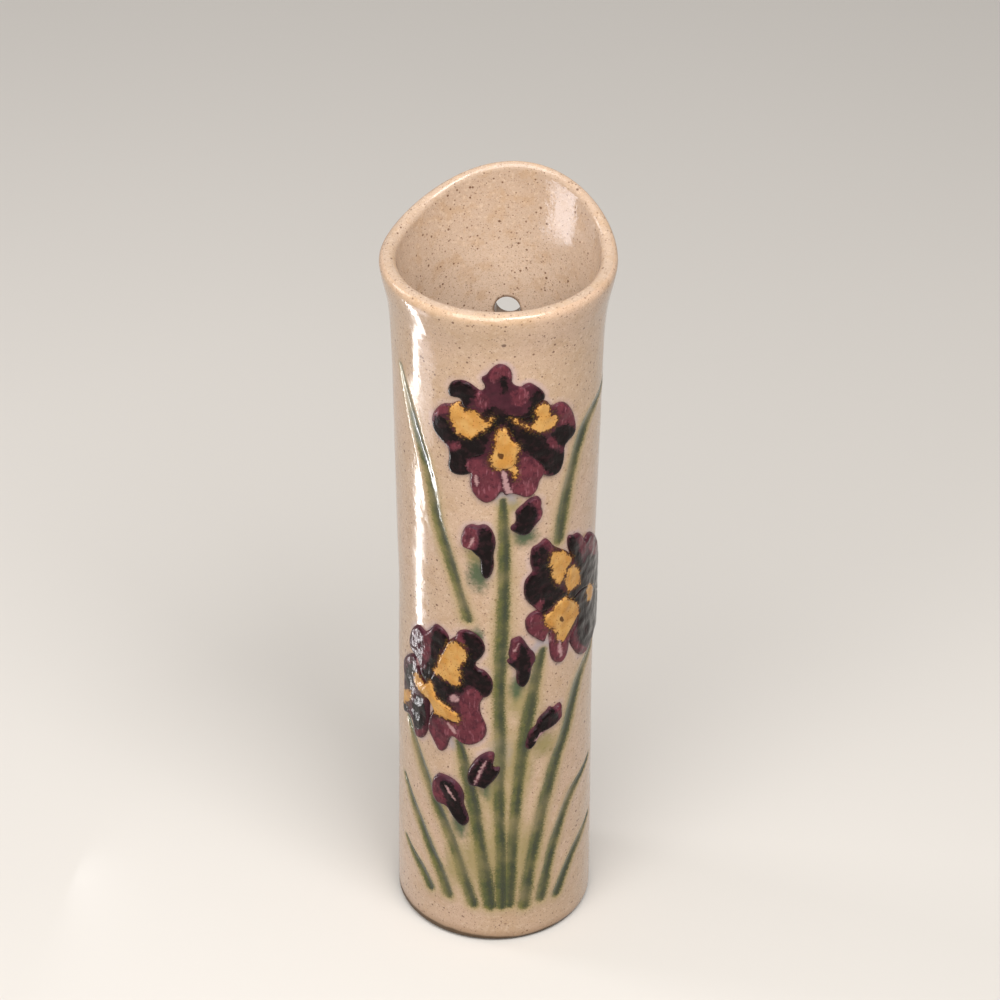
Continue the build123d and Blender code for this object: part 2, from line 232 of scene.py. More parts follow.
             -12, -111, -21, -107, -27, -95, -29, -73],
            [6, -74, 14, -74, 22, -94, 37, -111, 49, -123, 37, -127, 25, -117, 14, -102],
            [-55, 40, -50, 45, -47, 29, -52, 21],
        ],
        "yellow": [
            [-35, 78, -32, 86, -27, 88, -14, 80, -1, 70, 7, 59, 1, 54, -6, 49, -9, 41, -13, 32, -21, 27,
             -27, 38, -30, 55, -34, 68],
            [-7, 45, 1, 48, 9, 46, 16, 34, 22, 17, 22, 5, 13, 8, 6, 6, -3, 6, -8, 19, -8, 33],
            [38, -14, 46, -7, 60, -19, 66, -37, 59, -44, 47, -41, 39, -28],
            [-13, 1, -5, 1, 4, -10, 18, -27, 22, -40, 15, -49, 6, -57, -3, -66, -11, -76, -19, -66, -24,
             -47, -32, -41, -39, -32, -42, -21, -35, -15, -27, -8, -20, -2],
        ],
        "pale": [
            [-19, -66, -12, -70, -9, -98, -15, -100],
            [-37, -51, -30, -46, -28, -70, -34, -69],
        ],
    },
}

# Each bud's place, outline and patches, in hundredths of the bud radius; its pale patches are painted
# highlights, not glaze
BUDS = {
    "upper_left_bud": {
        "angle": -4.0, "height": 0.64,
        "outline": [-68, 46, -58, 90, -43, 115, -21, 126, -3, 120, 15, 129, 32, 128, 50, 107, 63, 70, 65,
            34, 56, -8, 60, -50, 55, -87, 44, -110, 26, -121, 9, -99, 8, -53, 4, -22, -11, -10, -27, 8,
            -44, 11, -61, 19],
        "black": [[8, 108, 22, 123, 43, 106, 54, 61, 54, 6, 55, -54, 40, -106, 22, -112, 11, -76, 8, -21,
            -14, -6, -29, 12, -3, 19, 11, 39, 6, 75]],
        "magenta": [[-66, 47, -55, 91, -40, 113, -21, 124, -3, 111, 4, 70, -3, 33, -18, 16, -44, 13, -59,
            21]],
        "pale": [[-36, 27, -14, 86, -7, 83, -25, 24]],
    },
    "upper_right_bud": {
        "angle": 23.0, "height": 0.678,
        "outline": [-46, 73, -30, 92, -12, 107, 0, 120, 19, 130, 41, 130, 57, 105, 54, 79, 63, 53, 55, 26,
            40, 10, 25, -9, 14, -29, -5, -38, -27, -34, -45, -20, -63, -7, -60, 11, -42, 23, -42, 50],
        "black": [[-39, 68, -14, 96, 4, 113, 19, 98, 31, 67, 28, 27, 17, -11, -5, -29, -31, -25, -53, -8,
            -38, 22]],
        "magenta": [[11, 122, 38, 129, 57, 101, 54, 70, 59, 46, 44, 18, 32, 44, 35, 80, 19, 102]],
    },
    "middle_bud": {
        "angle": 17.5, "height": 0.466,
        "outline": [-21, 69, -18, 106, -1, 113, 17, 119, 34, 97, 46, 71, 58, 49, 74, 31, 82, -2, 70, -20,
            63, -41, 61, -69, 52, -100, 33, -124, 10, -115, 2, -80, 6, -48, -6, -27, -24, -9, -35, 9, -21,
            17, -28, 41],
        "black": [[12, 92, 31, 84, 46, 43, 51, 0, 47, -33, 59, -69, 48, -99, 29, -121, 10, -110, 6, -67,
            17, -35, -6, -22, -28, 1, -6, 11, 9, 27]],
        "magenta": [[-19, 68, -14, 103, 4, 110, 12, 87, 12, 50, 5, 23, -13, 19, -25, 41]],
        "pale": [[-14, 63, 8, 102, 12, 92, -6, 53]],
    },
    "lower_right_bud": {
        "angle": 36.0, "height": 0.352,
        "outline": [-79, -77, -73, -44, -66, -13, -52, 5, -34, 16, -30, 39, -14, 57, 7, 68, 22, 88, 41, 70,
            57, 82, 79, 80, 79, 49, 82, 18, 68, 4, 49, -8, 30, -14, 8, -19, -13, -30, -27, -44, -37, -69,
            -53, -88, -69, -89],
        "black": [[-42, 14, -18, 54, 12, 66, 25, 85, 43, 57, 58, 21, 30, -4, 4, -7, -21, -22, -38, -40,
            -45, -76, -69, -79, -69, -41, -58, -5]],
        "magenta": [[43, 67, 76, 79, 77, 31, 63, 9, 53, 43]],
        "pale": [[-50, -46, -21, -12, 8, -9, -9, -21, -33, -51]],
    },
    "lower_middle_bud": {
        "angle": 0.5, "height": 0.288,
        "outline": [-70, -48, -68, -4, -53, 34, -34, 66, -11, 89, 15, 103, 35, 99, 37, 72, 30, 43, 33, 24,
            56, 31, 58, 9, 45, -20, 26, -47, 12, -65, -1, -80, -18, -72, -35, -68, -56, -69],
        "black": [
            [-64, -37, -53, 14, -26, 53, 0, 83, -15, 30, -33, -21, -45, -57],
            [-30, -55, -11, -8, 4, 42, 22, 87, 26, 38, 34, 14, 52, 24, 37, -30, 8, -60, -11, -72],
        ],
        "magenta": [[11, 96, 33, 97, 30, 58, 19, 48]],
        "pale": [[-41, -52, -26, 9, 0, 71, 7, 62, -15, 1, -30, -50]],
    },
    "lower_left_bud": {
        "angle": -22.0, "height": 0.229,
        "outline": [-68, 90, -47, 115, -20, 120, 8, 117, 35, 104, 55, 79, 67, 43, 63, 10, 71, -17, 83, -49,
            87, -78, 68, -102, 44, -94, 23, -69, 7, -43, -6, -22, -33, -26, -53, -21, -70, 10, -75, 46],
        "black": [[-29, 99, 2, 102, 31, 88, 51, 56, 56, 8, 68, -23, 83, -64, 68, -97, 44, -85, 23, -52, 7,
            -19, -2, 17, -20, 54]],
        "magenta": [[-70, 59, -56, 96, -33, 73, -15, 46, 6, 16, 7, -9, -15, -13, -46, -15, -65, 7]],
        "pale": [[-15, 95, 19, 65, 39, 23, 27, 33, -2, 71]],
    },
}

# Washes of the brush: colour, strength, then blots by angle, height, half width and half height in mm
SMUDGES = {
    "olive": ((140, 128, 72), 0.85, [
        (36.0, 75.6, 6.2, 5.6), (-27.0, 50.4, 3.0, 4.8), (21.0, 95.0, 5.4, 8.5), (13.0, 168.5, 4.4, 4.0),
        (-6.0, 150.0, 3.6, 7.0), (7.0, 58.0, 5.0, 9.0), (20.0, 70.0, 6.0, 16.0), (12.0, 36.0, 9.0, 20.0),
        (26.0, 34.0, 6.0, 14.0), (-4.0, 34.0, 6.0, 14.0), (-16.0, 30.0, 5.0, 10.0),
    ]),
    "green": ((56, 80, 44), 0.95, [
        (-4.0, 142.0, 4.4, 6.8), (21.7, 156.2, 5.0, 4.4), (18.2, 100.0, 3.4, 5.4), (2.3, 61.2, 4.0, 4.8),
        (-15.2, 45.6, 3.8, 6.4), (-4.6, 119.0, 2.4, 4.4),
    ]),
    "lilac": ((158, 150, 160), 0.8, [
        (9.0, 75.5, 4.0, 7.0), (10.8, 171.0, 4.2, 3.4), (-17.3, 76.5, 3.4, 3.0), (34.0, 113.5, 4.2, 4.0),
    ]),
}

# Iron specks: cells in a metre, size as a share of a cell, share of the cells and strength
SPECKS = [(480.0, 0.18, 0.65, 0.8), (850.0, 0.26, 0.5, 0.6), (240.0, 0.11, 0.8, 0.85),
          (1500.0, 0.32, 0.6, 0.4)]

# Darker spots in the clay: angle, height and radius in millimetres
SPOTS = [(9.0, 225.8, 0.9), (40.9, 72.6, 0.8), (176.0, 214.0, 0.9), (183.0, 210.5, 0.7),
         (17.0, 189.0, 0.4), (-21.0, 167.0, 0.4), (31.0, 138.0, 0.4), (-38.0, 215.0, 0.5),
         (54.0, 221.0, 0.5)]

# What the fields hold where nothing is near
FAR_AWAY = 9.0
NO_PATCH = -4.0
NO_BLOT = -3.0


def tone(red, green, blue):
    """A colour as the screen shows it, 0 to 255, turned to Blender's linear numbers."""
    shares = [value / 255 for value in (red, green, blue)]
    return tuple(s / 12.92 if s <= 0.04045 else ((s + 0.055) / 1.055) ** 2.4 for s in shares)


def length_property(label, text, default):
    return FloatProperty(name=label, description=text, default=default, unit="LENGTH", precision=5)


def colour_property(label, text, default):
    return FloatVectorProperty(
        name=label, description=text, default=default, size=3, subtype="COLOR", min=0.0, max=1.0
    )


class VaseSizes(bpy.types.PropertyGroup):
    """Sizes of the vase"""

    front_height: length_property("Front height", "Height of the front of the rim", 0.236)
    back_rise: length_property("Back rise", "How much higher the back of the rim stands", 0.0109)
    wall_thickness: length_property("Wall thickness", "Thickness of the tube", 0.0045)
    rim_thickness: length_property("Rim thickness", "Thickness of the lip at the front", 0.0050)
    back_thinning: length_property("Back thinning", "How much thinner the lip is at the back", 0.0018)
    base_thickness: length_property("Base thickness", "Thickness of the base disc", 0.006)
    foot_rounding: length_property("Foot rounding", "Radius of the rounded edge of the foot", 0.0022)
    hole_radius: length_property("Hole radius", "Radius of the hole to hang by", 0.0039)
    hole_height: length_property("Hole height", "Height of the middle of that hole", 0.200)
    stem_width: length_property("Stem width", "Width of a scratched stem", 0.0042)
    stem_depth: length_property("Stem depth", "Depth of a scratched stem", 0.00045)
    flower_radius: length_property("Flower radius", "Reach of a flower from its middle", 0.022)
    bud_radius: length_property("Bud radius", "Reach of a bud from its middle", 0.008)
    petal_rise: length_property("Petal rise", "How far petals stand off the wall", 0.0014)
    throat_rise: length_property("Throat rise", "How far a flower's throat stands off the wall", 0.0019)
    bud_rise: length_property("Bud rise", "How far buds stand off the wall", 0.0017)
    wobble: length_property("Wobble", "Unevenness left by the hands", 0.00018)
    columns: IntProperty(name="Columns", description="Faces round the tube", default=236, min=60)


class VaseColours(bpy.types.PropertyGroup):
    """Colours of the glazes and the clay, and of the painted highlights on the petals"""

    body: colour_property("Body", "Clear glaze over speckled clay", tone(203, 172, 148))
    speck: colour_property("Specks", "Iron specks in the clay", tone(96, 62, 40))
    clay: colour_property("Clay", "Bare clay under the base disc", tone(128, 98, 74))
    # Pooled green glaze; its mask is shifted to one side of the groove as painted shade
    stem: colour_property("Stem", "Green glaze where it lies deep", tone(28, 38, 6))
    stem_edge: colour_property("Stem edge", "Green glaze where it thins out", tone(122, 112, 56))
    halo: colour_property("Halo", "Pale bloom round the petals", tone(200, 174, 176))
    plum: colour_property("Plum", "Dark glaze of the petals", tone(60, 28, 37))
    magenta: colour_property("Magenta", "Light purple glaze of the petals", tone(112, 54, 63))
    black: colour_property("Black", "Black glaze of the petals", tone(13, 10, 9))
    yellow: colour_property("Yellow", "Yellow glaze of the throats", tone(190, 136, 66))
    # Painted highlights: the colour of the pale patches on petals and buds
    pale: colour_property("Pale", "Pink lights on the petals", tone(196, 156, 156))


class Net:
    """Adds nodes to a tree and joins them, so that a material or a shape reads as sums."""

    def __init__(self, tree):
        self.tree = tree

    def feed(self, socket, value):
        if isinstance(value, bpy.types.NodeSocket):
            self.tree.links.new(value, socket)
        elif value is not None:
            socket.default_value = (*value, 1.0) if socket.type == "RGBA" else value

    def add(self, kind, feeds=None, **settings):
        made = self.tree.nodes.new(kind)
        for name, value in settings.items():
            setattr(made, name, value)
        for socket, value in (feeds or {}).items():
            self.feed(made.inputs[socket], value)
        return made

    def math(self, operation, first, second=None, third=None):
        return self.add("ShaderNodeMath", {0: first, 1: second, 2: third}, operation=operation).outputs[0]

    def vector(self, operation, first, second=None):
        made = self.add("ShaderNodeVectorMath", {0: first, 1: second}, operation=operation)
        return made.outputs["Value" if operation == "DOT_PRODUCT" else "Vector"]

    def scaled(self, vector, scale):
        return self.add("ShaderNodeVectorMath", {0: vector, "Scale": scale}, operation="SCALE").outputs[0]

    def parts(self, vector):
        return self.add("ShaderNodeSeparateXYZ", {0: vector}).outputs

    def point(self, x, y, z):
        return self.add("ShaderNodeCombineXYZ", {0: x, 1: y, 2: z}).outputs[0]

    def ramp(self, value, low, high, start=0.0, end=1.0):
        """Eases from start to end while value goes from low to high."""
        feeds = {"Value": value, "From Min": low, "From Max": high, "To Min": start, "To Max": end}
        return self.add("ShaderNodeMapRange", feeds, interpolation_type="SMOOTHSTEP").outputs[0]

    def mix(self, share, under, over):
        return self.add("ShaderNodeMix", {0: share, 6: under, 7: over}, data_type="RGBA").outputs[2]

    def lay(self, under, over, value, low, high, strength=1.0):
        """Lays a colour over another as value goes from low to high."""
        return self.mix(self.ramp(value, low, high, 0.0, strength), under, over)

    def noise(self, spot, scale, detail=2.0, roughness=0.5):
        feeds = {"Vector": spot, "Scale": scale, "Detail": detail, "Roughness": roughness}
        return self.add("ShaderNodeTexNoise", feeds).outputs[0]

    def attribute(self, name):
        """A value that the mesh carries, for a material."""
        return self.add("ShaderNodeAttribute", attribute_name=name).outputs["Fac"]

    def named(self, name):
        """A value that the points carry, for a shape."""
        return self.add("GeometryNodeInputNamedAttribute", {"Name": name}, data_type="FLOAT").outputs[0]

    def sample(self, geometry, index, value, kind="FLOAT"):
        """What another shape's point of that index holds."""
        feeds = {"Geometry": geometry, "Index": index, "Value": value}
        return self.add("GeometryNodeSampleIndex", data_type=kind, domain="POINT", feeds=feeds).outputs[0]

    def store(self, geometry, name, value):
        feeds = {"Geometry": geometry, "Name": name, "Value": value}
        kind = "GeometryNodeStoreNamedAttribute"
        return self.add(kind, data_type="FLOAT", domain="POINT", feeds=feeds).outputs[0]

    def specks(self, spot, scale, size, amount):
        """Grains of a share of the cells of a given scale, each a little ball in the clay."""
        cells = self.add("ShaderNodeTexVoronoi", {"Vector": spot, "Scale": scale})
        pick = self.add("ShaderNodeSeparateColor", {0: cells.outputs["Color"]})
        chosen = self.ramp(pick.outputs[0], 1 - amount, 1 - amount + 0.02)
        reach = self.math("MULTIPLY_ADD", pick.outputs[1], size * 0.7, size * 0.5)
        near = self.math("SUBTRACT", reach, cells.outputs["Distance"])
        return self.math("MULTIPLY", self.ramp(near, 0.0, size * 0.35), chosen)

    def bump(self, shader, height, strength, distance):
        made = self.add("ShaderNodeBump", {"Strength": strength, "Distance": distance, "Height": height})
        self.feed(shader.inputs["Normal"], made.outputs[0])


def new_material(name):
    """A material with its net, its shader and its object coordinates."""
    material = bpy.data.materials.new(name)
    material.use_nodes = True
    material.node_tree.nodes.clear()
    net = Net(material.node_tree)
    shader = net.add("ShaderNodeBsdfPrincipled")
    net.add("ShaderNodeOutputMaterial", {"Surface": shader.outputs[0]})
    return material, net, shader, net.add("ShaderNodeTexCoord").outputs["Object"]


def body_glaze(net, spot, place, grain, colours):
    """Mottled clear glaze over speckled clay; inside the mouth, painted light makes it lighter deep down and
    painted shade darker towards the lip.
    """
    body = net.lay(colours.body, tone(198, 168, 140), net.noise(spot, 28.0, 3.0), 0.35, 0.65)
    # Painted light and shade inside the mouth: lighter deep down, darker towards the lip
    inner_light_and_shade = net.lay(tone(208, 186, 166), tone(188, 163, 142), place[2], 0.205, 0.243)
    body = net.lay(body, inner_light_and_shade, net.attribute("inner_side"), 0.2, 0.8)
    body = net.lay(body, tone(184, 150, 114), net.noise(spot, 190.0, 4.0, 0.6), 0.48, 0.68, 0.42)
    body = net.lay(body, tone(164, 132, 102), net.noise(spot, 2600.0), 0.45, 0.72, 0.42)
    body = net.lay(body, tone(226, 202, 176), grain, 0.52, 0.72, 0.34)
    for scale, size, amount, strength in SPECKS:
        dots = net.specks(spot, scale, size, amount)
        body = net.mix(net.math("MULTIPLY", dots, strength), body, colours.speck)
    return body


def washes(net, spot, body, colours):
    """Darker spots, the bloom and the shade round the petals, and the washes of the brush."""
    soft = net.math("SUBTRACT", net.noise(spot, 620.0, 3.0, 0.6), 0.5)
    spots = net.math("MULTIPLY_ADD", soft, 1.2, net.attribute("spot_field"))
    body = net.lay(body, tone(92, 62, 46), spots, -0.1, 0.35, 0.85)
    away = net.math("MULTIPLY_ADD", soft, 1.6, net.attribute("petal_reach"))
    patchy = net.ramp(net.noise(spot, 110.0), 0.35, 0.65, 0.25, 1.0)
    bloom = net.math("MULTIPLY", net.ramp(away, 2.2, 0.2, 0.0, 0.55), patchy)
    body = net.mix(bloom, body, colours.halo)
    body = net.lay(body, tone(120, 90, 92), away, 0.5, -0.1, 0.35)
    for name, (colour, strength, _) in SMUDGES.items():
        smudge = net.math("MULTIPLY_ADD", soft, 0.9, net.attribute(name + "_smudge"))
        body = net.lay(body, tone(*colour), smudge, -0.25, 0.75, strength)
    return body


def stem_glaze(net, spot, body, colours):
    """Green glaze in the stems: an olive edge, a mottled middle and a dark pooled core, shifted to one side
    as painted shade.
    """
    frayed = net.math("SUBTRACT", net.noise(spot, 1700.0, 3.0, 0.6), 0.5)
    reach = net.math("ADD", frayed, net.attribute("stem_reach"))
    side = net.math("ADD", frayed, net.attribute("stem_side"))
    thin = net.ramp(net.noise(spot, 75.0), 0.3, 0.62, 0.45, 1.0)
    body = net.lay(body, tone(170, 148, 102), reach, 2.6, 0.9, 0.55)
    edge = net.math("MULTIPLY", net.ramp(reach, 1.5, 0.6, 0.0, 0.9), thin)
    body = net.mix(edge, body, colours.stem_edge)
    green = net.lay(tone(54, 66, 12), tone(94, 94, 30), net.noise(spot, 240.0, 3.0), 0.4, 0.66)
    body = net.mix(net.math("MULTIPLY", net.ramp(reach, 1.15, 0.45, 0.0, 0.95), thin), body, green)
    # The dark core is pooled glaze, set off the middle of the groove as painted shade on one side
    off_middle = net.math("ABSOLUTE", net.math("SUBTRACT", side, 0.28))
    deep = net.math("MULTIPLY", net.ramp(off_middle, 0.8, 0.05, 0.0, 0.85), net.ramp(reach, 1.15, 0.6))
    return net.mix(net.math("MULTIPLY", deep, thin), body, colours.stem)


def vessel_glaze(colours):
    """Clear glaze over speckled stoneware, with green stems, pale halos and a bare foot."""
    material, net, shader, spot = new_material("vessel_glaze")
    grain = net.noise(spot, 900.0, 3.0)
    place = net.parts(spot)
    body = body_glaze(net, spot, place, grain, colours)
    body = washes(net, spot, body, colours)
    body = stem_glaze(net, spot, body, colours)

    wavy = net.math("SUBTRACT", net.noise(spot, 90.0), 0.5)
    wiped = net.math("MULTIPLY_ADD", wavy, 0.0022, place[2])
    wiped = net.math("MULTIPLY_ADD", place[0], 0.03, wiped)
    bare = net.ramp(wiped, 0.0030, 0.0018)
    body = net.lay(body, tone(152, 118, 86), wiped, 0.0056, 0.0026, 0.55)
    body = net.mix(bare, body, net.mix(grain, tone(100, 76, 50), tone(72, 54, 34)))
    body = net.lay(body, tone(96, 72, 54), net.attribute("hole_reach"), 1.2, 0.1, 0.8)
    net.feed(shader.inputs["Base Color"], body)

    wet = net.ramp(net.noise(spot, 70.0), 0.3, 0.7, 0.10, 0.20)
    net.feed(shader.inputs["Roughness"], net.math("MULTIPLY_ADD", bare, 0.65, wet))
    shader.inputs["IOR"].default_value = 1.5
    shader.inputs["Coat Weight"].default_value = 0.12
    shader.inputs["Coat Roughness"].default_value = 0.06
    peel = net.math("MULTIPLY_ADD", net.noise(spot, 700.0, 2.0, 0.6), 0.20, net.noise(spot, 130.0))
    peel = net.math("MULTIPLY_ADD", net.noise(spot, 1900.0, 1.0), 0.035, peel)
    net.bump(shader, peel, 0.6, 0.0005)
    return material


def brushed_glaze(name, under, colours):
    """Brushed glazes and pale painted highlights: each patch's field says where it lies, and grain frays its
    edge.
    """
    material, net, shader, spot = new_material(name)
    cloud = net.noise(spot, 260.0, 3.0)
    grain = net.noise(spot, 1300.0, 3.0, 0.6)
    ragged = net.math("SUBTRACT", net.noise(spot, 560.0, 2.0, 0.6), 0.5)
    fray = net.math("MULTIPLY_ADD", ragged, 1.1, net.math("SUBTRACT", grain, 0.5))
    streak = net.noise(net.vector("MULTIPLY", spot, (1.0, 1.0, 0.28)), 1100.0, 3.0)

    magenta = net.lay(colours.magenta, tone(90, 42, 51), cloud, 0.3, 0.7)
    magenta = net.lay(magenta, tone(56, 25, 36), net.noise(spot, 640.0, 3.0, 0.6), 0.48, 0.68, 0.6)
    # Lighter brush streaks, which also serve as painted highlight on the magenta
    magenta = net.lay(magenta, tone(158, 98, 108), streak, 0.55, 0.72, 0.6)
    black = net.lay(colours.black, tone(44, 25, 28), net.noise(spot, 480.0, 3.0), 0.46, 0.68, 0.7)
    yellow = net.lay(colours.yellow, tone(208, 162, 96), cloud, 0.3, 0.7)
    yellow = net.lay(yellow, tone(206, 140, 74), streak, 0.5, 0.75, 0.5)
    yellow = net.mix(net.specks(spot, 1500.0, 0.28, 0.7), yellow, tone(150, 96, 44))

    def brush(colour, over, field, frayed, low, high, strength=1.0):
        value = net.math("MULTIPLY_ADD", fray, frayed, net.attribute(field))
        return net.lay(colour, over, value, low, high, strength)

    colour = net.lay(under, tone(78, 38, 48), cloud, 0.35, 0.7)
    colour = brush(colour, magenta, "magenta_field", 2.0, -0.60, 0.60, 0.97)
    colour = brush(colour, black, "black_field", 2.4, -0.65, 0.40, 0.97)
    olive = net.math("MULTIPLY", net.ramp(net.noise(spot, 1700.0), 0.54, 0.66, 0.0, 0.75),
                     net.ramp(net.attribute("yellow_field"), -2.2, -0.3))
    colour = net.mix(olive, colour, tone(104, 86, 36))
    colour = brush(colour, tone(86, 54, 24), "yellow_field", 2.6, -1.0, 0.1, 0.8)
    colour = brush(colour, yellow, "yellow_field", 2.8, -0.1, 0.45)
    colour = brush(colour, tone(74, 40, 18), "dot_field", 0.6, -0.2, 0.1, 0.9)
    # Pale patches: painted highlights on the petals and buds
    colour = brush(colour, colours.pale, "pale_field", 1.4, -0.3, 0.5, 0.75)
    colour = net.lay(colour, tone(120, 84, 92), net.attribute("edge_reach"), 0.4, 0.0, 0.25)
    net.feed(shader.inputs["Base Color"], colour)
    net.feed(shader.inputs["Roughness"], net.ramp(grain, 0.3, 0.7, 0.08, 0.20))
    shader.inputs["IOR"].default_value = 1.3
    shader.inputs["Specular Tint"].default_value = (0.44, 0.37, 0.40, 1.0)
    net.bump(shader, net.math("MULTIPLY_ADD", streak, 0.5, net.noise(spot, 330.0, 3.0)), 0.5, 0.0004)
    return material


def floor_clay(colours):
    """Bare clay under the base disc and the same glaze as the wall on its inside."""
    material, net, shader, spot = new_material("floor_clay")
    grain = net.noise(spot, 700.0, 4.0, 0.65)
    inside = net.ramp(net.parts(spot)[2], 0.004, 0.0045)
    clay = net.lay(colours.clay, tone(164, 130, 100), grain, 0.3, 0.7)
    clay = net.mix(net.specks(spot, 700.0, 0.2, 0.6), clay, tone(70, 50, 38))
    glaze = net.mix(net.specks(spot, 620.0, 0.14, 0.55), colours.body, colours.speck)
    net.feed(shader.inputs["Base Color"], net.mix(inside, clay, glaze))
    net.feed(shader.inputs["Roughness"], net.math("MULTIPLY_ADD", inside, -0.7, 0.88))
    net.bump(shader, grain, 0.5, 0.0004)
    return material


def outside_radius(height):
    """Outer radius of the tube at a height or an array of heights, in metres."""
    heights, radii = np.array(OUTSIDE).T * MM
    spread = np.linspace(-2, 2, 9)
    weights = np.exp(-spread**2 / 2)
    near = np.asarray(height)[..., None] + spread * SOFTENING
    return (np.interp(near, heights, radii) * weights).sum(-1) / weights.sum()


def ease(value, low, high):
    share = np.clip((np.asarray(value) - low) / (high - low), 0, 1)
    return share * share * (3 - 2 * share)


def wall_section(sizes):
    """Radius, height and inside share once round the cut of the wall, from the inner foot on."""
    lip = sizes.rim_thickness / 2
    crown = sizes.front_height - lip
    foot = float(outside_radius(0.0))
    inner_foot = foot - sizes.wall_thickness
    rounding = sizes.foot_rounding
    chamfer = 0.0004
    outer_rows = 330
    inner_rows = 48
    lip_start = 0.206
    rows = [(inner_foot, sizes.base_thickness, 1.0), (inner_foot, sizes.base_thickness / 2, 1.0)]
    rows += [(inner_foot, chamfer, 1.0), (inner_foot + chamfer, 0.0, 1.0)]
    for turn in np.linspace(0, math.pi / 2, 7):
        rows.append((foot - rounding * (1 - math.sin(turn)), rounding * (1 - math.cos(turn)), 0.0))
    for height in np.linspace(rounding, crown, outer_rows)[1:]:
        rows.append((float(outside_radius(height)), height, 0.0))
    middle = float(outside_radius(crown)) - lip
    for turn in np.linspace(0, math.pi, 15)[1:]:
        rows.append((middle + lip * math.cos(turn), crown + lip * math.sin(turn), (1 - math.cos(turn)) / 2))
    for height in np.linspace(crown, sizes.base_thickness, inner_rows)[1:]:
        share = float(ease(height, lip_start, crown))
        thickness = sizes.wall_thickness + share * (sizes.rim_thickness - sizes.wall_thickness)
        rows.append((float(outside_radius(height)) - thickness, height, 1.0))
    rows[-1] = rows[0]
    return rows


def new_object(name, mesh):
    made = bpy.data.objects.new(name, mesh)
    bpy.context.scene.collection.objects.link(made)
    return made


def section_object(rows):
    """The wall's cut as a line of points, which the tree turns round the axis."""
    mesh = bpy.data.meshes.new("wall_section")
    mesh.from_pydata([(r, 0, z) for r, z, _ in rows], [(i, i + 1) for i in range(len(rows) - 1)], [])
    mesh.attributes.new("inside", "FLOAT", "POINT").data.foreach_set("value", [row[2] for row in rows])
    return new_object("wall_section", mesh)


def new_tree(name, inputs):
    """A geometry tree with named inputs. Returns its net and its input and output nodes."""
    tree = bpy.data.node_groups.new(name, "GeometryNodeTree")
    tree.is_modifier = True
    tree.interface.new_socket(name="Geometry", in_out="INPUT", socket_type="NodeSocketGeometry")
    for label, kind, default in inputs:
        socket = tree.interface.new_socket(name=label, in_out="INPUT", socket_type="NodeSocket" + kind)
        if default is not None:
            socket.default_value = default
    tree.interface.new_socket(name="Geometry", in_out="OUTPUT", socket_type="NodeSocketGeometry")
    net = Net(tree)
    return net, net.add("NodeGroupInput"), net.add("NodeGroupOutput")


def end_tree(net, geometry, group_in, group_out):
    """Realizes instances, sets the material and hands the shape out."""
    real = net.add("GeometryNodeRealizeInstances", {0: geometry})
    feeds = {"Geometry": real.outputs[0], "Material": group_in.outputs["Material"]}
    painted = net.add("GeometryNodeSetMaterial", feeds)
    net.feed(group_out.inputs[0], painted.outputs[0])


def run_tree(owner, tree, values):
    """Runs a tree on an object, its inputs set by identifier, and keeps the result as a plain mesh."""
    modifier = owner.modifiers.new(tree.name, "NODES")
    modifier.node_group = tree
    identifiers = {
        item.name: item.identifier
        for item in tree.interface.items_tree
        if item.item_type == "SOCKET" and item.in_out == "INPUT"
    }
    for label, value in values.items():
        modifier[identifiers[label]] = value
    bpy.context.view_layer.update()
    depsgraph = bpy.context.evaluated_depsgraph_get()
    mesh = bpy.data.meshes.new_from_object(
        owner.evaluated_get(depsgraph), preserve_all_data_layers=True, depsgraph=depsgraph
    )
    owner.modifiers.clear()
    owner.data = mesh
    if not mesh.polygons:
        raise RuntimeError(f"{tree.name} made no faces")


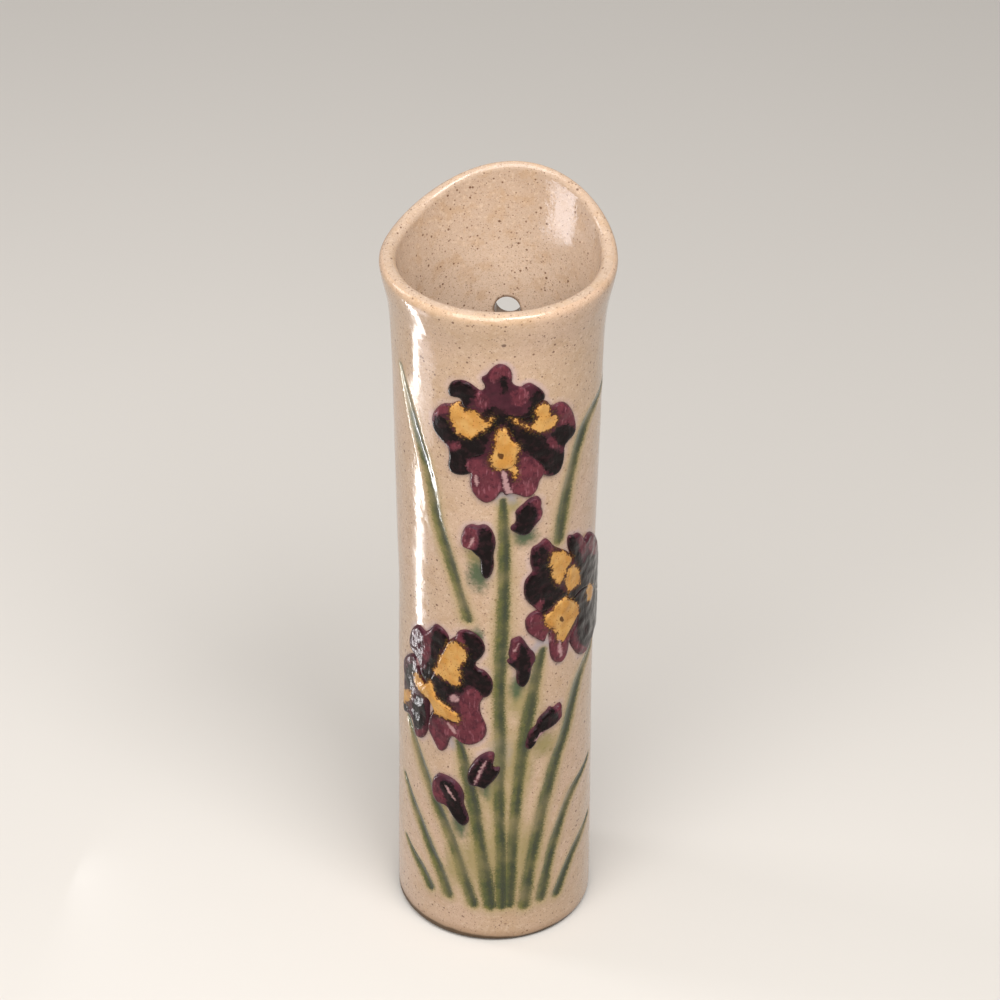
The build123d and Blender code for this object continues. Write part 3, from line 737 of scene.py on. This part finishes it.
def turned_wall_tree(row_count):
    """Turns the section round the axis, lifts the back of the rim and drills the hole."""
    net, group_in, group_out = new_tree("turned_wall", [
        ("Section", "Object", None), ("Material", "Material", None), ("Columns", "Int", 300),
        ("Front share", "Float", 0.6), ("Lift start", "Float", 0.2), ("Front height", "Float", 0.236),
        ("Back rise", "Float", 0.011), ("Peak turn", "Float", 0.14), ("Back flare", "Float", 0.0004),
        ("Back thinning", "Float", 0.0012), ("Wobble", "Float", 0.0003), ("Hole radius", "Float", 0.0039),
        ("Hole height", "Float", 0.2),
    ])
    given = group_in.outputs
    grid = net.add("GeometryNodeMeshGrid", {"Size X": 2.0, "Size Y": 1.0, "Vertices X": given["Columns"],
                                            "Vertices Y": row_count})
    position = net.add("GeometryNodeInputPosition").outputs[0]
    place = net.parts(position)
    row = net.math("ROUND", net.math("MULTIPLY", net.math("ADD", place[1], 0.5), row_count - 1))
    section = net.add("GeometryNodeObjectInfo", {"Object": given["Section"]}, transform_space="RELATIVE")
    section = section.outputs["Geometry"]
    cut = net.parts(net.sample(section, row, position, "FLOAT_VECTOR"))
    inner = net.sample(section, row, net.named("inside"))

    squared = net.math("MULTIPLY", place[0], place[0])
    rest = net.math("SUBTRACT", 1.0, given["Front share"])
    stretch = net.math("ADD", net.math("MULTIPLY", squared, rest), given["Front share"])
    turn = net.math("MULTIPLY", net.math("MULTIPLY", place[0], stretch), math.pi)
    peak = net.math("COSINE", net.math("ADD", turn, given["Peak turn"]))
    behind = net.math("MAXIMUM", net.math("MULTIPLY", peak, -1.0), 0.0)
    high = net.ramp(cut[2], given["Lift start"], given["Front height"])
    lift = net.math("MULTIPLY", net.math("MULTIPLY", behind, behind), high)
    flare = net.math("ADD", net.math("MULTIPLY", inner, given["Back thinning"]), given["Back flare"])
    radius = net.math("ADD", cut[0], net.math("MULTIPLY", flare, lift))
    height = net.math("ADD", cut[2], net.math("MULTIPLY", lift, given["Back rise"]))

    backwards = net.math("MULTIPLY", net.math("COSINE", turn), -1.0)
    around = net.point(net.math("SINE", turn), backwards, 0.0)
    raised = net.point(0.0, 0.0, height)
    uneven = net.noise(net.vector("ADD", net.scaled(around, 0.03), raised), 22.0, 1.0)
    uneven = net.math("MULTIPLY", net.math("SUBTRACT", uneven, 0.5), given["Wobble"])
    calm = net.math("MULTIPLY", net.ramp(height, 0.245, 0.20, 0.25, 1.0), 4.0)
    uneven = net.math("MULTIPLY", net.math("MULTIPLY", uneven, calm), net.ramp(height, 0.0, 0.02))
    where = net.vector("ADD", net.scaled(around, net.math("ADD", radius, uneven)), raised)
    shaped = net.add("GeometryNodeSetPosition", {"Geometry": grid.outputs[0], "Position": where}).outputs[0]
    joined = net.add("GeometryNodeMergeByDistance", {"Geometry": shaped, "Distance": 0.00001}).outputs[0]

    middle = net.point(0.0, 0.03, given["Hole height"])
    bit = net.add("GeometryNodeMeshCylinder", {"Vertices": 64, "Radius": given["Hole radius"], "Depth": 0.02})
    moved = net.add("GeometryNodeTransform", {"Geometry": bit.outputs[0], "Translation": middle,
                                              "Rotation": (math.pi / 2, 0.0, 0.0)})
    drilled = net.add("GeometryNodeMeshBoolean", {"Mesh 1": joined, "Mesh 2": moved.outputs[0]},
                      operation="DIFFERENCE", solver="EXACT")
    end_tree(net, drilled.outputs[0], group_in, group_out)
    return net.tree


def stem_curves():
    """The scratched stems as smooth curves on the wall, thinner towards their tips."""
    curves = bpy.data.curves.new("stem_routes", "CURVE")
    curves.dimensions = "3D"
    for width, route in STEMS:
        spline = curves.splines.new("NURBS")
        spline.points.add(len(route) - 1)
        for index, (angle, height) in enumerate(route):
            spline.points[index].co = (*on_wall(math.radians(angle), height * MM, 0.0), 1.0)
            spline.points[index].radius = width * (TIP_SHARE if index == 0 else 1.0)
        spline.order_u = 3
        spline.use_endpoint_u = True
        spline.resolution_u = 12
    return new_object("stem_routes", curves)


def scratched_stems_tree():
    """Presses a groove into the wall along each stem and notes how far each point is from it."""
    net, group_in, group_out = new_tree("scratched_stems", [
        ("Stems", "Object", None), ("Material", "Material", None), ("Width", "Float", 0.0026),
        ("Depth", "Float", 0.0005), ("Burr share", "Float", 0.22), ("Spacing", "Float", 0.0008),
    ])
    given = group_in.outputs
    routes = net.add("GeometryNodeObjectInfo", {"Object": given["Stems"]}, transform_space="RELATIVE")
    feeds = {"Curve": routes.outputs["Geometry"], "Length": given["Spacing"]}
    even = net.add("GeometryNodeResampleCurve", feeds, mode="LENGTH").outputs[0]
    marked = net.store(even, "taper", net.add("GeometryNodeInputRadius").outputs[0])
    lines = net.add("GeometryNodeCurveToMesh", {"Curve": marked}).outputs[0]
    near = net.add("GeometryNodeProximity", {0: lines}, target_element="EDGES")
    position = net.add("GeometryNodeInputPosition").outputs[0]
    index = net.add("GeometryNodeSampleNearest", {"Geometry": lines}, domain="POINT").outputs[0]
    taper = net.sample(lines, index, net.named("taper"))
    uneven = net.ramp(net.noise(position, 60.0), 0.3, 0.7, 0.88, 1.15)
    half = net.math("MULTIPLY", given["Width"], 0.5)
    half = net.math("MULTIPLY", half, net.math("MULTIPLY", taper, uneven))
    reach = net.math("DIVIDE", near.outputs["Distance"], half)
    bowl = net.ramp(reach, 1.3, 0.0)
    burr = net.math("MULTIPLY", net.ramp(reach, 0.9, 1.4), net.ramp(reach, 2.2, 1.4))
    clear = net.ramp(net.named("petal_reach"), 0.2, 1.6)
    depth = net.math("SUBTRACT", net.math("MULTIPLY", burr, given["Burr share"]), bowl)
    depth = net.math("MULTIPLY", net.math("MULTIPLY", depth, given["Depth"]), clear)
    pressed = net.scaled(net.add("GeometryNodeInputNormal").outputs[0], depth)

    apart = net.vector("SUBTRACT", position, near.outputs["Position"])
    spot = net.parts(position)
    across = net.vector("NORMALIZE", net.point(net.math("MULTIPLY", spot[1], -1.0), spot[0], 0.0))
    side = net.math("DIVIDE", net.vector("DOT_PRODUCT", apart, across), half)
    stored = given["Geometry"]
    for name, value, low, high in (("stem_reach", reach, 0.0, 4.0), ("stem_side", side, -2.0, 2.0)):
        stored = net.store(stored, name, net.math("MINIMUM", net.math("MAXIMUM", value, low), high))
    cut = net.add("GeometryNodeSetPosition", {"Geometry": stored, "Offset": pressed}).outputs[0]
    end_tree(net, cut, group_in, group_out)
    return net.tree


def on_wall(turn, height, outset):
    """A point at a turn from the front, a height and an outset from the outside of the tube."""
    reach = outside_radius(height) + outset
    return reach * np.sin(turn), -reach * np.cos(turn), height


def smooth_outline(outline, size):
    """The points of a flat list of hundredths, with its corners cut, in metres."""
    points = np.reshape(outline, (-1, 2)) * size / 100
    for _ in range(2):
        after = np.roll(points, -1, 0)
        points = np.stack([0.75 * points + 0.25 * after, 0.25 * points + 0.75 * after], 1).reshape(-1, 2)
    return points


def outline_distance(across, up, points):
    """Distance from a closed outline, below zero inside it, and the nearest point on it."""
    spot = np.stack([across, up], -1)
    least, nearest, inside = np.full(len(spot), np.inf), np.zeros_like(spot), np.zeros(len(spot), bool)
    for start, stop in zip(points, np.roll(points, -1, 0)):
        along = stop - start
        share = np.clip((spot - start) @ along / max(along @ along, 1e-15), 0, 1)
        point = start + share[:, None] * along
        apart = np.hypot(*(spot - point).T)
        closer = apart < least
        least[closer], nearest[closer] = apart[closer], point[closer]
        if start[1] != stop[1]:
            level = (start[1] > up) != (stop[1] > up)
            inside ^= level & (across < start[0] + (up - start[1]) * along[0] / along[1])
    return np.where(inside, -least, least), nearest


def patch_field(across, up, patches, size):
    """How far inside its patches of glaze or painted highlight a point lies in millimetres, below zero
    outside them.
    """
    field = np.full(len(across), NO_PATCH)
    for patch in patches or []:
        points = smooth_outline(patch, size)
        near = np.hypot(across - points[:, 0].mean(), up - points[:, 1].mean()) < np.ptp(points) + 0.004
        depth = -outline_distance(across[near], up[near], points)[0] / MM
        field[near] = np.maximum(field[near], depth)
    return field


def set_attribute(mesh, name, values):
    layer = mesh.attributes.new(name, "FLOAT", "POINT")
    layer.data.foreach_set("value", np.asarray(values, np.float32).ravel())


def applied_clay(name, place, size, outline, earlier, rise, paint, material, spacing=0.00025):
    """A pressed-on slab with a rolled edge, closed behind, that tucks under earlier pieces."""
    turn, height = math.radians(place[0]), place[1]
    bend = float(outside_radius(height))
    overlap = 0.0013
    rolled = 0.0012
    sunk = 0.00025
    flattening = 0.86
    own = smooth_outline(outline, size)
    others = [smooth_outline(other, size) for other in earlier]

    def field(across, up):
        """Distance from the free edge of the piece and the nearest point on it."""
        value, nearest = outline_distance(across, up, own)
        for other in others:
            apart, touch = outline_distance(across, up, other)
            covered = -(apart + overlap)
            spot = np.stack([across, up], -1)
            inward = (touch - spot) / np.maximum(np.abs(apart), 1e-9)[:, None]
            edge = spot + inward * covered[:, None]
            deeper = covered > value
            value = np.where(deeper, covered, value)
            nearest = np.where(deeper[:, None], edge, nearest)
        return value, nearest

    low, high = own.min(0) - 3 * spacing, own.max(0) + 3 * spacing
    columns, rows = np.arange(low[0], high[0], spacing), np.arange(low[1], high[1], spacing)
    across, up = (values.ravel() for values in np.meshgrid(columns, rows, indexing="ij"))
    outside = field(across, up)[0]
    corner = (np.arange(len(columns) - 1)[:, None] * len(rows) + np.arange(len(rows) - 1)).ravel()
    faces = np.stack([corner, corner + len(rows), corner + len(rows) + 1, corner + 1], 1)
    faces = faces[(outside[faces] < 0).any(1)]
    used, faces = np.unique(faces, return_inverse=True)
    faces = faces.reshape(-1, 4)
    across, up = across[used], up[used]
    for _ in range(3):
        outside, nearest = field(across, up)
        beyond = outside > 0
        across, up = np.where(beyond, nearest[:, 0], across), np.where(beyond, nearest[:, 1], up)

    depth = np.maximum(-field(across, up)[0], 0)
    share = np.clip(depth / rolled, 0, 1)
    roll = np.sqrt(1 - (1 - share) ** 2)

    def lumps(scale):
        return np.array([noise.noise((x * scale, y * scale, place[0])) for x, y in zip(across, up)])

    raised = (rise * flattening + sunk) * roll - sunk + (0.00024 * lumps(320) + 0.00002 * lumps(1100)) * share
    angles, heights = turn + across / bend, height + up
    top = np.stack(on_wall(angles, heights, raised), 1)
    back = np.stack(on_wall(angles, heights, -2 * sunk), 1)
    total = len(used)
    edges = np.concatenate([faces[:, [i, (i + 1) % 4]] for i in range(4)])
    keys = np.sort(edges, 1)
    _, first, counts = np.unique(keys[:, 0] * total + keys[:, 1], return_index=True, return_counts=True)
    open_edges = edges[first[counts == 1]]
    start, stop = open_edges.T
    sides = np.stack([stop, start, start + total, stop + total], 1)
    every_face = np.concatenate([faces, faces[:, ::-1] + total, sides])
    mesh = bpy.data.meshes.new(name)
    mesh.from_pydata(np.concatenate([top, back]).tolist(), [], every_face.tolist())
    mesh.shade_smooth()
    # The pale field carries painted highlights; the others are glazes
    for colour in ("black", "magenta", "yellow", "pale", "dot"):
        values = patch_field(across, up, paint.get(colour), size)
        set_attribute(mesh, colour + "_field", np.concatenate([values, values]))
    set_attribute(mesh, "edge_reach", np.concatenate([depth, depth]) / MM)
    mesh.materials.append(material)
    return new_object(name, mesh)


def keep(piece, node):
    """Rides a finished piece on the vase and lets it stand for its CAD node."""
    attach(piece, "root")
    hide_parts(node)


def all_applied(sizes):
    """Every applied piece: angle, height, size and outline."""
    for table in FLOWERS.values():
        for petal in PETALS:
            yield table["angle"], table["height"] * sizes.front_height, sizes.flower_radius, table[petal]
    for table in BUDS.values():
        yield table["angle"], table["height"] * sizes.front_height, sizes.bud_radius, table["outline"]


def note_neighbours(mesh, sizes):
    """Stores on the wall how far each point is from the petals, the smudges, the spots and the hole."""
    points = np.zeros(len(mesh.vertices) * 3)
    mesh.vertices.foreach_get("co", points)
    points = points.reshape(-1, 3)
    turn = np.arctan2(points[:, 0], -points[:, 1])
    radius = np.hypot(points[:, 0], points[:, 1])
    height = points[:, 2]
    outer = radius > outside_radius(height) - 0.0015
    away = np.full(len(points), FAR_AWAY)
    for angle, middle, size, outline in all_applied(sizes):
        across = outside_radius(middle) * (turn - math.radians(angle))
        up = height - middle
        near = outer & (np.abs(across) < 1.5 * size) & (np.abs(up) < 1.7 * size)
        apart = outline_distance(across[near], up[near], smooth_outline(outline, size))[0]
        away[near] = np.minimum(away[near], apart / MM)
    set_attribute(mesh, "petal_reach", away)
    set_attribute(mesh, "inner_side", 1.0 - outer)

    def blots(table):
        field = np.full(len(points), NO_BLOT)
        for angle, middle, half_width, half_height in table:
            around = (turn - math.radians(angle) + math.pi) % (2 * math.pi) - math.pi
            across = radius * around / (half_width * MM)
            field = np.maximum(field, 1 - np.hypot(across, (height - middle * MM) / (half_height * MM)))
        return field

    for name, (_, _, table) in SMUDGES.items():
        set_attribute(mesh, name + "_smudge", np.where(outer, blots(table), NO_BLOT))
    set_attribute(mesh, "spot_field", blots([(*spot, spot[2]) for spot in SPOTS]))
    hole = np.hypot(points[:, 0], height - sizes.hole_height) - sizes.hole_radius
    set_attribute(mesh, "hole_reach", np.where(points[:, 1] > 0, hole / MM, FAR_AWAY))


class VASE_OT_wall(bpy.types.Operator):
    """Turns the flared tube, drills its hole and scratches the stems"""

    bl_idname = "vase.wall"
    bl_label = "Wall"

    def execute(self, context):
        sizes = context.scene.vase_sizes
        material = vessel_glaze(context.scene.vase_colours)
        rows = wall_section(sizes)
        section = section_object(rows)
        wall = new_object("vase_wall", bpy.data.meshes.new("vase_wall"))
        run_tree(wall, turned_wall_tree(len(rows)), {
            "Section": section, "Material": material, "Columns": sizes.columns,
            "Front height": sizes.front_height, "Back rise": sizes.back_rise,
            "Back thinning": sizes.back_thinning, "Wobble": sizes.wobble,
            "Hole radius": sizes.hole_radius, "Hole height": sizes.hole_height,
        })
        note_neighbours(wall.data, sizes)
        stems = stem_curves()
        run_tree(wall, scratched_stems_tree(), {
            "Stems": stems, "Material": material, "Width": sizes.stem_width, "Depth": sizes.stem_depth
        })
        for helper in (section, stems):
            bpy.data.objects.remove(helper)
        wall.data.shade_smooth()
        wall.data.set_sharp_from_angle(angle=math.radians(50))
        keep(wall, "wall")
        return {"FINISHED"}


def turned_solid(name, profile, around):
    """A closed solid turned round the axis from a profile whose ends lie on it."""
    turns = np.arange(around) * 2 * math.pi / around
    rings = [(reach * math.cos(turn), reach * math.sin(turn), height)
             for reach, height in profile[1:-1] for turn in turns]
    points = [(0.0, 0.0, profile[0][1]), *rings, (0.0, 0.0, profile[-1][1])]
    faces = []
    last = len(points) - 1
    for step in range(around):
        after = (step + 1) % around
        faces.append((0, 1 + after, 1 + step))
        for low in range(1, last - around, around):
            faces.append((low + step, low + after, low + around + after, low + around + step))
        faces.append((last - around + step, last - around + after, last))
    mesh = bpy.data.meshes.new(name)
    mesh.from_pydata(points, [], faces)
    mesh.shade_smooth()
    return new_object(name, mesh)


class VASE_OT_base_disc(bpy.types.Operator):
    """Makes the base disc that closes the foot of the tube"""

    bl_idname = "vase.base_disc"
    bl_label = "Base disc"

    def execute(self, context):
        sizes = context.scene.vase_sizes
        radius = float(outside_radius(0.0)) - sizes.wall_thickness
        thick = sizes.base_thickness
        soft = 0.0003
        under_hollow = 0.0007
        inside_hollow = 0.0003
        profile = [(0.0, under_hollow)]
        for share in np.linspace(0.06, 0.96, 24):
            ripple = 0.00006 * math.sin(share * 60)
            profile.append((share * radius, under_hollow * (1 - share**2) + ripple))
        profile += [(radius - soft, 0.0), (radius, soft), (radius, thick - soft), (radius - soft, thick)]
        for share in np.linspace(0.96, 0.06, 20):
            profile.append((share * radius, thick - inside_hollow * (1 - share**2)))
        profile.append((0.0, thick - inside_hollow))
        disc = turned_solid("vase_floor", profile, 96)
        disc.data.materials.append(floor_clay(context.scene.vase_colours))
        keep(disc, "base_disc")
        return {"FINISHED"}


class VASE_OT_flowers(bpy.types.Operator):
    """Presses the petals and throats of the three flowers onto the wall and brushes their glazes"""

    bl_idname = "vase.flowers"
    bl_label = "Flowers"

    def execute(self, context):
        sizes, colours = context.scene.vase_sizes, context.scene.vase_colours
        petal_glaze = brushed_glaze("petal_glaze", colours.plum, colours)
        throat_glaze = brushed_glaze("throat_glaze", tone(150, 100, 62), colours)
        for flower, table in FLOWERS.items():
            place = (table["angle"], table["height"] * sizes.front_height)
            earlier = []
            for petal in PETALS:
                rise, slot, glaze = sizes.petal_rise, "petal_glaze", petal_glaze
                if petal == "throat":
                    rise, slot, glaze = sizes.throat_rise, "throat_glaze", throat_glaze
                name = f"{flower}_{petal}"
                piece = applied_clay(
                    name + "_clay", place, sizes.flower_radius, table[petal], earlier, rise, table, glaze
                )
                keep(piece, name)
                earlier.append(table[petal])
        return {"FINISHED"}


class VASE_OT_buds(bpy.types.Operator):
    """Presses the six buds onto the wall and brushes their glazes"""

    bl_idname = "vase.buds"
    bl_label = "Buds"

    def execute(self, context):
        sizes, colours = context.scene.vase_sizes, context.scene.vase_colours
        bud_glaze = brushed_glaze("bud_glaze", tone(62, 36, 46), colours)
        for bud, table in BUDS.items():
            place = (table["angle"], table["height"] * sizes.front_height)
            piece = applied_clay(
                bud + "_clay", place, sizes.bud_radius, table["outline"], [], sizes.bud_rise, table,
                bud_glaze, spacing=0.0002,
            )
            keep(piece, bud)
        return {"FINISHED"}


def round_about(azimuth, elevation, distance, aim):
    """A point seen from the aim at an azimuth from the front and an elevation."""
    turn, rise = math.radians(azimuth), math.radians(elevation)
    level = math.cos(rise)
    return Vector(aim) + distance * Vector((math.sin(turn) * level, -math.cos(turn) * level, math.sin(rise)))


def softbox(name, place, aim, width, height, power, colour):
    """A lamp with an even face that the camera doesn't see."""
    light = bpy.data.lights.new(name, "AREA")
    light.shape = "RECTANGLE"
    light.size, light.size_y = width, height
    light.energy = power
    light.color = colour
    made = new_object(name, light)
    made.location = place
    made.rotation_euler = (Vector(aim) - Vector(place)).to_track_quat("-Z", "Y").to_euler()
    made.visible_camera = False
    return made


def seen_share(net):
    """1 for rays that show the background: those from the camera, mirrored or let through."""
    path = net.add("ShaderNodeLightPath").outputs
    mirrored = net.math("MAXIMUM", path["Is Glossy Ray"], path["Is Transmission Ray"])
    return net.math("MAXIMUM", path["Is Camera Ray"], mirrored)


class VASE_OT_stage(bpy.types.Operator):
    """Sets the camera, the pale floor, the lamps and the world"""

    bl_idname = "vase.stage"
    bl_label = "Stage"

    def execute(self, context):
        self.camera(context)
        self.floor()
        self.lamps()
        self.world(context)
        context.scene.view_settings.view_transform = "Standard"
        return {"FINISHED"}

    def camera(self, context):
        azimuth, roll = math.radians(6.0), math.radians(-0.45)
        distance = 1.3
        back = round_about(6.0, 35.5, 1.0, (0.0, 0.0, 0.0))
        right = Vector((math.cos(azimuth), math.sin(azimuth), 0.0))
        up = back.cross(right)
        tilted_right = math.cos(roll) * right - math.sin(roll) * up
        tilted_up = math.sin(roll) * right + math.cos(roll) * up
        aim = Vector((0.0, 0.0, 0.1486)) + 0.0010 * right
        data = bpy.data.cameras.new("camera")
        data.sensor_width = 36.0
        data.lens = 156.35
        data.clip_start, data.clip_end = 0.05, 30.0
        camera = new_object("camera", data)
        turned = Matrix((tilted_right, tilted_up, back)).transposed().to_4x4()
        camera.matrix_world = Matrix.Translation(aim + distance * back) @ turned
        context.scene.camera = camera

    def floor(self):
        reach = 6.0
        mesh = bpy.data.meshes.new("floor")
        corners = [(-reach, -reach, 0), (reach, -reach, 0), (reach, reach, 0), (-reach, reach, 0)]
        mesh.from_pydata(corners, [], [(0, 1, 2, 3)])
        material, net, shader, spot = new_material("pale_floor")
        tint = net.mix(net.noise(spot, 3.0), tone(212, 208, 203), tone(217, 213, 208))
        net.feed(shader.inputs["Base Color"], net.mix(seen_share(net), tone(170, 164, 158), tint))
        shader.inputs["Roughness"].default_value = 0.75
        mesh.materials.append(material)
        new_object("floor", mesh)

    def lamps(self):
        middle = (0.0, 0.0, 0.14)
        mouth = (0.0, 0.0, 0.22)
        softbox("key", round_about(-14, 46, 0.9, (0.0, 0.0, 0.16)), middle, 0.7, 0.7, 7.0, (1.0, 0.98, 0.95))
        softbox("window", round_about(-100, 30, 1.0, middle), middle, 0.22, 0.4, 1.7, (1.0, 0.97, 0.97))
        softbox("overhead", round_about(0, 82, 0.9, middle), middle, 0.5, 0.5, 0.7, (1.0, 0.97, 0.94))
        softbox("mouth", round_about(38, 55, 0.9, mouth), mouth, 0.4, 0.4, 5.8, (1.0, 0.98, 0.96))
        # Lamps that only show in gloss: two at the neck and one inside the mouth
        for name, place, aim, width, height, power, colour in (
            ("strip", (-0.175, -0.005, 0.055), (-0.024, -0.019, 0.17), 0.015, 0.13, 0.15, (1.0, 1.0, 1.0)),
            ("veil", (-0.20, -0.055, 0.085), (-0.024, -0.019, 0.20), 0.07, 0.06, 0.032, (0.97, 0.93, 1.0)),
            ("glint", (-0.0205, 0.0115, 0.2225), (0.024, 0.020, 0.231), 0.020, 0.018, 0.0070,
             (0.90, 0.91, 1.0)),
        ):
            softbox(name, place, aim, width, height, power, colour).visible_diffuse = False

    def world(self, context):
        world = bpy.data.worlds.new("studio")
        world.use_nodes = True
        world.node_tree.nodes.clear()
        net = Net(world.node_tree)
        sky = net.add("ShaderNodeBackground", {"Color": (1.0, 0.98, 0.95), "Strength": 0.32})
        shown = net.add("ShaderNodeBackground", {"Color": (0.60, 0.59, 0.57), "Strength": 1.0})
        blend = net.add("ShaderNodeMixShader", {0: seen_share(net), 1: sky.outputs[0], 2: shown.outputs[0]})
        net.add("ShaderNodeOutputWorld", {0: blend.outputs[0]})
        context.scene.world = world


class VASE_PT_panel(bpy.types.Panel):
    """Lists the pieces of the vase and their sizes and colours"""

    bl_label = "Vase"
    bl_idname = "VASE_PT_panel"
    bl_space_type = "VIEW_3D"
    bl_region_type = "UI"
    bl_category = "Vase"

    def draw(self, context):
        for operator in OPERATORS:
            self.layout.operator(operator.bl_idname)
        for group in (context.scene.vase_sizes, context.scene.vase_colours):
            for name in group.__annotations__:
                self.layout.prop(group, name)


OPERATORS = (VASE_OT_stage, VASE_OT_wall, VASE_OT_base_disc, VASE_OT_flowers, VASE_OT_buds)
CLASSES = (VaseSizes, VaseColours, *OPERATORS, VASE_PT_panel)


def register():
    for kind in CLASSES:
        bpy.utils.register_class(kind)
    bpy.types.Scene.vase_sizes = PointerProperty(type=VaseSizes)
    bpy.types.Scene.vase_colours = PointerProperty(type=VaseColours)


def unregister():
    del bpy.types.Scene.vase_colours
    del bpy.types.Scene.vase_sizes
    for kind in reversed(CLASSES):
        bpy.utils.unregister_class(kind)


def main():
    register()
    bpy.ops.vase.stage()
    bpy.ops.vase.wall()
    bpy.ops.vase.base_disc()
    bpy.ops.vase.flowers()
    bpy.ops.vase.buds()


if __name__ == "__main__":
    main()
